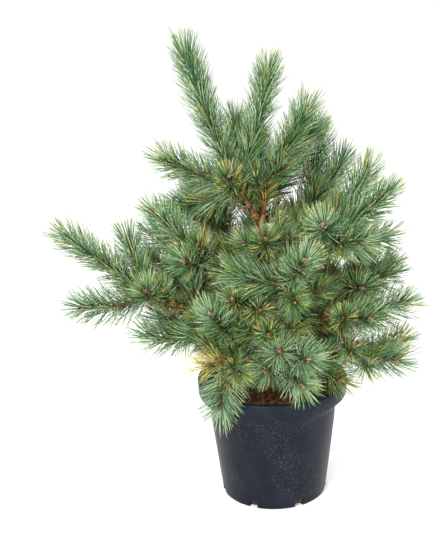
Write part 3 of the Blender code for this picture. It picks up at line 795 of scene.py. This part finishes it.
def needle_arrays(base, way, curl, side, length, width, stations):
    """Three-sided needles: a ring at each station and a point. Returns verts (n, 3 * stations + 1, 3)."""
    t = np.array(stations)[None, :, None]
    centre = base[:, None] + length[:, None, None] * (way[:, None] * t + curl[:, None] * t**2)
    ahead = unit(way[:, None] + 2 * curl[:, None] * t)
    across = unit(side[:, None] - ahead * (side[:, None] * ahead).sum(-1, keepdims=True))
    up = np.cross(ahead, across)
    swell = np.interp(t, (0.0, 0.4, 0.8), (0.75, 1.0, 0.8)) * width / 2
    ridge = centre + up * swell * NEEDLE_DEPTH_SHARE
    rings = np.stack([centre + across * swell, centre - across * swell, ridge], 2)
    tip = base + length[:, None] * (way + curl)
    return np.concatenate([rings.reshape(len(base), -1, 3), tip[:, None]], 1)


class Needles:
    """All needles of the plant by kind of colour, and the sheaths at their feet."""

    def __init__(self, limbs):
        self.limbs = limbs
        self.kinds = {kind: Bag() for kind in NEEDLE_COLOURS}
        self.sheaths = Bag()

    def add(self, verts, kinds, tipped):
        """Needles (n, corners, 3) with their kinds, those that are tipped ending in cream."""
        corners = verts.shape[1]
        body, point = needle_faces((corners - 1) // 3)
        last = corners - 4
        for kind in np.unique(kinds):
            plain, creamy = (verts[(kinds == kind) & (tipped == way)] for way in (False, True))
            if len(plain):
                self.kinds[kind].add_many(plain, np.concatenate([body, point]))
            if len(creamy):
                end = np.array([[last, last + 1, last + 2]])
                self.kinds[kind].add_many(creamy[:, :-1], np.concatenate([body, end]))
                closed_point = np.concatenate([point - last, [[0, 2, 1]]])
                self.kinds["tip_cream"].add_many(creamy[:, last:], closed_point)

    def add_sheaths(self, base, way):
        """A short brown sheath round the foot of each pair."""
        side = unit(np.cross(way, (0.3, 0.5, 0.8)))
        other = np.cross(way, side)
        foot = base - way * 0.001
        turns = [math.tau * k / 3 for k in range(3)]
        ring = [foot + (side * math.cos(a) + other * math.sin(a)) * SHEATH_RADIUS for a in turns]
        cones = np.stack([*ring, base + way * SHEATH_LENGTH], 1)
        self.sheaths.add_many(cones, np.array([[0, 2, 1], [0, 1, 3], [1, 2, 3], [2, 0, 3]]))


def clothe(
    path,
    dress_name,
    rise,
    needles,
    draw,
    bare,
    budded=True,
    creamy=0.3,
    twig_radius=TWIG_TIP_RADIUS,
):
    """Needle pairs up a twig, from past its bare foot to its end."""
    dress = DRESSES[dress_name]
    total = length_of(path)
    count = max(8, int((total - bare) * dress.pairs))
    place = bare + (total - bare) * (np.arange(count) + draw.uniform(-0.4, 0.4, count)) / count
    share = np.clip(place / total, 0, 1)
    ahead, u, v = framed(path)
    t, uu, vv = (unit(along(path, share, values)) for values in (ahead, u, v))
    turn = GOLDEN_ANGLE * np.arange(count) + draw.normal(0, 0.25, count)
    radial = uu * np.cos(turn)[:, None] + vv * np.sin(turn)[:, None]
    late = np.clip((place - (total - TUFT_LENGTH)) / TUFT_LENGTH, 0, 1) * budded
    upright = min(1.0, max(0.0, rise / UPRIGHT_RISE))
    middle = SPREAD_LEVEL + (SPREAD_UPRIGHT - SPREAD_LEVEL) * upright
    angle = SPREAD_ROOT + (middle - SPREAD_ROOT) * np.minimum(1, share * 2)
    angle = angle + (SPREAD_TIP - angle) * late**1.3 + draw.normal(0, SPREAD_SPARE, count)
    angle = np.radians(angle)[:, None]
    base = along(path, share) + radial * twig_radius * 0.6
    way = unit(t * np.cos(angle) + radial * np.sin(angle) + np.array((0.0, 0.0, 0.06)))
    length = dress.length * draw.uniform(0.84, 1.10, count) * (0.80 + 0.20 * np.minimum(1, share * 3))
    across = np.cross(t, radial)
    names = list(dress.mix)
    kinds = draw.choice(names, size=count, p=np.array([dress.mix[k] for k in names]))
    tipped = (draw.uniform(size=count) < 0.06 + creamy * late) & dress.outer
    pair = math.radians(PAIR_ANGLE)
    grown = []
    for sign in (-1.0, 1.0):
        own = unit(way * math.cos(pair) + across * math.sin(pair) * sign + draw.normal(0, 0.05, (count, 3)))
        curl = t * NEEDLE_FORWARD + np.array((0.0, 0.0, NEEDLE_LIFT)) + draw.normal(0, 0.045, (count, 3))
        curl = curl - own * (curl * own).sum(-1, keepdims=True)
        side = unit(across + draw.normal(0, 0.5, (count, 3)))
        size = length * draw.uniform(0.96, 1.04, count)
        stations = OUTER_STATIONS if dress.outer else INNER_STATIONS
        verts = needle_arrays(base, own, curl, side, size, NEEDLE_WIDTH, stations)
        marks = np.stack([(verts[:, 0] + verts[:, -1]) / 2, verts[:, -1]], 1)
        grown.append((verts, outside_pot(marks).all(1) & needles.limbs.clear_of(marks)))
    both = grown[0][1] & grown[1][1]
    for verts, _ in grown:
        needles.add(verts[both], kinds[both], tipped[both])
    needles.add_sheaths(base[both], way[both])


# Shoots
def rule_whorl(name):
    limb = BRANCHES[name]
    full = SPRIG_SHOOT_LENGTH if name in SPRIGS else RULE_LENGTH
    draw = random.Random(name)
    rise = limb.rise + RULE_RISE
    ahead = direction(limb.bearing, rise)
    across = unit(np.cross((0, 0, 1), ahead))
    upward = np.cross(ahead, across)
    shoots = [Shoot(limb.bearing, rise, full, RULE_LIFT)]
    for i in range(1, RULE_SHOOTS):
        turn = math.tau * (i - 0.5) / (RULE_SHOOTS - 1) + draw.uniform(-0.3, 0.3)
        angle = math.radians(RULE_SIDE_ANGLE)
        side = across * math.sin(turn) + upward * math.cos(turn)
        way = ahead * math.cos(angle) + side * math.sin(angle)
        side_bearing, side_rise = heading(way)
        length = full * RULE_SIDE_SHARE * draw.uniform(0.85, 1.15)
        shoots.append(Shoot(side_bearing, max(RULE_LOWEST_RISE, side_rise), length, RULE_LIFT))
    return tuple(shoots)


def whorl_hub(path):
    return path[-1] + unit(path[-1] - path[-2]) * (GAP + HUB_LENGTH / 2)


def bud_arrays(place, way, size):
    """A pointed bud with rings of scales standing off it a little."""
    t = np.linspace(0, 1, 9)
    outline = np.sin(np.pi * np.clip(t * 0.86 + 0.14, 0, 1)) ** 0.8
    scales = 1.0 + 0.10 * ((t * 8) % 2 > 1)
    points = place[None] + way[None] * (t * size)[:, None]
    return tube_arrays(points, outline * scales * size * 0.23 + 0.0002, 8, twist=0.35)


def add_buds(buds, tip, way, size, draw):
    """A big bud at the end of a shoot, and a few smaller ones round it."""
    side = unit(np.cross(way, draw.normal(size=3)))
    other = np.cross(way, side)
    buds.add(*bud_arrays(tip - way * 0.002, way, size))
    count = int(draw.integers(3, 6))
    for k in range(count):
        a = math.tau * k / count + draw.uniform(-0.4, 0.4)
        out = side * math.cos(a) + other * math.sin(a)
        lean = unit(way * math.cos(0.5) + out * math.sin(0.5))
        buds.add(*bud_arrays(tip - way * 0.003 + out * 0.0018, lean, size * draw.uniform(0.55, 0.75)))


def twig_off(start, way, length, lift):
    bearing, rise = heading(unit(way))
    return arc(start, bearing, rise, length, lift, max(6, int(length / TWIG_STEP))), rise


def side_twigs(path, draw):
    """Short twigs off the outer part of a bough, turned round it by the golden angle and bent upwards."""
    count = int(length_of(path) * (1 - SIDE_FROM) / SIDE_PITCH)
    frames = framed(path)
    found = []
    for i in range(count):
        share = SIDE_FROM + (1 - SIDE_FROM) * (i + draw.uniform(0.2, 0.8)) / count
        t, u, v = (along(path, share, values) for values in frames)
        turn = GOLDEN_ANGLE * i + draw.uniform(-0.5, 0.5)
        angle = math.radians(SIDE_ANGLE)
        way = t * math.cos(angle) + (u * math.cos(turn) + v * math.sin(turn)) * math.sin(angle)
        way = way + np.array((0, 0, SIDE_UPWARD))
        found.append(twig_off(along(path, share), way, draw.uniform(*SIDE_LENGTH), SIDE_LIFT))
    return found


def hub_twigs(hub, ahead, draw):
    """Short twigs of a whorl, between its shoots."""
    side = unit(np.cross(ahead, (0.0, 0.0, 1.0)))
    other = np.cross(side, ahead)
    found = []
    first = draw.uniform(0, math.tau)
    for i in range(HUB_TWIGS):
        turn = first + math.tau * i / HUB_TWIGS
        angle = math.radians(HUB_TWIG_ANGLE)
        way = ahead * math.cos(angle) + (side * math.cos(turn) + other * math.sin(turn)) * math.sin(angle)
        way = way + np.array((0, 0, HUB_UPWARD))
        found.append(twig_off(hub, way, draw.uniform(*HUB_TWIG_LENGTH), SIDE_LIFT))
    return found


def grow_shoots(name, hub, needles, twigs, buds):
    for i, shoot in enumerate(WHORLS.get(name) or rule_whorl(name)):
        own_name = f"{name}_shoot_{i}"
        draw = seeded(own_name)
        steps = max(12, int(shoot.length / TWIG_STEP))
        path = arc(hub, shoot.bearing, shoot.rise, shoot.length, shoot.lift, steps)
        taper = np.linspace(TWIG_ROOT_RADIUS * (0.8 + shoot.length), TWIG_TIP_RADIUS, len(path))
        radii = bark_radii(path, taper, 8, 0.18, zlib.crc32(own_name.encode()))
        twigs.add(*tube_arrays(path, radii, 8))
        dress = SHOOT_DRESSES.get(own_name, "inner" if name in SPRIGS else "fresh")
        creamy = 0.25 + 0.6 * min(1.0, max(0.0, (path[-1][2] - CREAMY_FROM) / CREAMY_OVER))
        clothe(path, dress, shoot.rise, needles, draw, BARE_FOOT, creamy=creamy)
        add_buds(buds, path[-1], unit(path[-1] - path[-2]), BOUGH_BUD if name in LIMBS else SPRIG_BUD, draw)


def grow_small_twigs(name, path, hub, needles, twigs, buds):
    draw = seeded(name + "_twigs")
    found = hub_twigs(hub, unit(path[-1] - path[-2]), draw)
    if name in LIMBS:
        clothe(path, "old", 0.0, needles, draw, length_of(path) * SIDE_FROM, budded=False)
        found += side_twigs(path, draw)
    for twig, rise in found:
        if not outside_pot(twig + np.array((0, 0, -0.01))).all():
            continue
        twigs.add(*tube_arrays(twig, np.linspace(SMALL_TWIG_RADIUS * 1.3, SMALL_TWIG_RADIUS, len(twig)), 6))
        clothe(twig, "inner", rise, needles, draw, SMALL_BARE_FOOT, twig_radius=SMALL_TWIG_RADIUS)
        buds.add(*bud_arrays(twig[-1] - 0.001, unit(twig[-1] - twig[-2]), SMALL_BUD))


def make_foliage(paths):
    needles, twigs, buds, hubs = Needles(Limbs(paths)), Bag(), Bag(), Bag()
    for name, limb in BRANCHES.items():
        path = paths[name]
        hub = whorl_hub(path)
        swell = np.array([0.9, 1.12, 1.15, 0.9, 0.5]) * limb.tip
        way = unit(path[-1] - path[-2])
        hubs.add(*tube_arrays(path[-1] + way[None] * np.linspace(-0.004, HUB_LENGTH, 5)[:, None], swell, 12))
        if name in SPRIGS:
            taper = np.linspace(limb.root, limb.tip, len(path))
            radii = bark_radii(path, taper, 10, 0.16, zlib.crc32(name.encode()))
            twigs.add(*tube_arrays(path, radii, 10))
        grow_shoots(name, hub, needles, twigs, buds)
        grow_small_twigs(name, path, hub, needles, twigs, buds)
    masses = [name.replace("_bough", "").replace("_branch", "") + "_foliage" for name in BRANCHES]
    twig_bark = bark_material("twig_bark", (0.110, 0.045, 0.020), (0.420, 0.200, 0.085), 260.0)
    bud_skin = bark_material("bud_scales", (0.330, 0.110, 0.070), (0.700, 0.400, 0.300), 420.0)
    sheath_skin = bark_material("sheath_skin", (0.100, 0.045, 0.022), (0.280, 0.150, 0.080), 500.0)
    for name, bag, surface, slot in (
        ("twigs", twigs, twig_bark, "bark"),
        ("whorl_knots", hubs, twig_bark, "bark"),
        ("buds", buds, bud_skin, "bark"),
        ("needle_sheaths", needles.sheaths, sheath_skin, "bark"),
        *(("needles_" + kind, bag, needle_material(kind), "needles") for kind, bag in needles.kinds.items()),
    ):
        made = make_mesh(name, *bag.arrays(), surface)
        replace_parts(made, *masses)


def make_litter():
    """Dry needles lying on the root ball."""
    draw = seeded("litter")
    count = LITTER_COUNT
    radius = LITTER_RADIUS * np.sqrt(draw.uniform(0.01, 1, count))
    turn = draw.uniform(0, math.tau, count)
    flat = np.stack([radius * np.cos(turn), radius * np.sin(turn)], -1)
    lie = draw.uniform(0, math.tau, count)
    way = unit(np.stack([np.cos(lie), np.sin(lie), draw.normal(0.02, 0.07, count)], -1))
    length = draw.uniform(*LITTER_LENGTH, count)
    base = np.concatenate([flat, (soil_height(radius) + draw.uniform(0.0015, 0.009, count))[:, None]], 1)
    base -= way * length[:, None] / 2
    side = unit(np.cross(way, (0, 0, 1.0)))
    curl = side * draw.normal(0, 0.12, count)[:, None]
    verts = needle_arrays(base, way, curl, side, length, LITTER_WIDTH, OUTER_STATIONS)
    verts = verts[np.linalg.norm(verts[..., :2], axis=-1).max(1) < BODY_TOP_RADIUS - POT_WALL - 0.002]
    bag = Bag()
    bag.add_many(verts, np.concatenate(needle_faces(len(OUTER_STATIONS))))
    surface = bark_material("litter", (0.120, 0.045, 0.018), (0.480, 0.240, 0.110), 60.0)
    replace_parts(make_mesh("fallen_needles", *bag.arrays(), surface), "root_ball")


# Stage
def make_stage():
    bpy.ops.mesh.primitive_plane_add(size=80.0, location=(0.0, 0.0, 0.0))
    floor = bpy.context.object
    floor.name = "floor"
    surface, _, shader = principled("floor", 0.9, 0.1)
    shader.inputs["Base Color"].default_value = (1.0, 1.0, 1.0, 1.0)
    floor.data.materials.append(surface)
    world = bpy.data.worlds.new("studio")
    world.use_nodes = True
    world.node_tree.nodes["Background"].inputs["Color"].default_value = (1.0, 1.0, 1.0, 1.0)
    world.node_tree.nodes["Background"].inputs["Strength"].default_value = 1.0
    bpy.context.scene.world = world
    for name, place, aim, size, power in (
        ("key", (-1.2, -2.6, 2.4), (0, 0, 0.6), 1.6, 110.0),
        ("fill", (1.6, -2.6, 1.3), (0, 0, 0.5), 1.6, 50.0),
        ("back", (0.5, 2.4, 2.6), (0, 0, 0.7), 1.6, 30.0),
    ):
        lamp = bpy.data.lights.new(name, "AREA")
        lamp.energy = power
        lamp.size = size
        made = bpy.data.objects.new(name, lamp)
        bpy.context.scene.collection.objects.link(made)
        made.location = place
        made.rotation_euler = looking(np.array(aim) - np.array(place)).to_euler()
    bpy.context.scene.view_settings.view_transform = "Standard"


def looking(toward):
    back = -unit(np.array(toward, float))
    right = unit(np.cross((0, 0, 1), back))
    up = np.cross(back, right)
    return Matrix(np.stack([right, up, back], 1).tolist())


def make_camera():
    yaw, pitch, roll = (math.radians(a) for a in (CAMERA_YAW, CAMERA_PITCH, CAMERA_ROLL))
    ahead = np.array((-math.sin(yaw) * math.cos(pitch), math.cos(yaw) * math.cos(pitch), -math.sin(pitch)))
    level = np.array((math.cos(yaw), math.sin(yaw), 0.0))
    above = np.cross(level, ahead)
    right = level * math.cos(roll) + above * math.sin(roll)
    up = np.cross(right, ahead)
    camera = bpy.data.cameras.new("camera")
    camera.sensor_width = SENSOR
    camera.lens = SENSOR * FOCAL_PIXELS / IMAGE_HEIGHT
    made = bpy.data.objects.new("camera", camera)
    bpy.context.scene.collection.objects.link(made)
    turn = Matrix(np.stack([right, up, -ahead], 1).tolist()).to_4x4()
    made.matrix_world = Matrix.Translation(CAMERA_PLACE) @ turn
    bpy.context.scene.camera = made


make_camera()
make_stage()
make_pot()
make_soil()
BRANCH_PATHS = branch_paths()
make_limbs(BRANCH_PATHS)
make_foliage(BRANCH_PATHS)
make_litter()
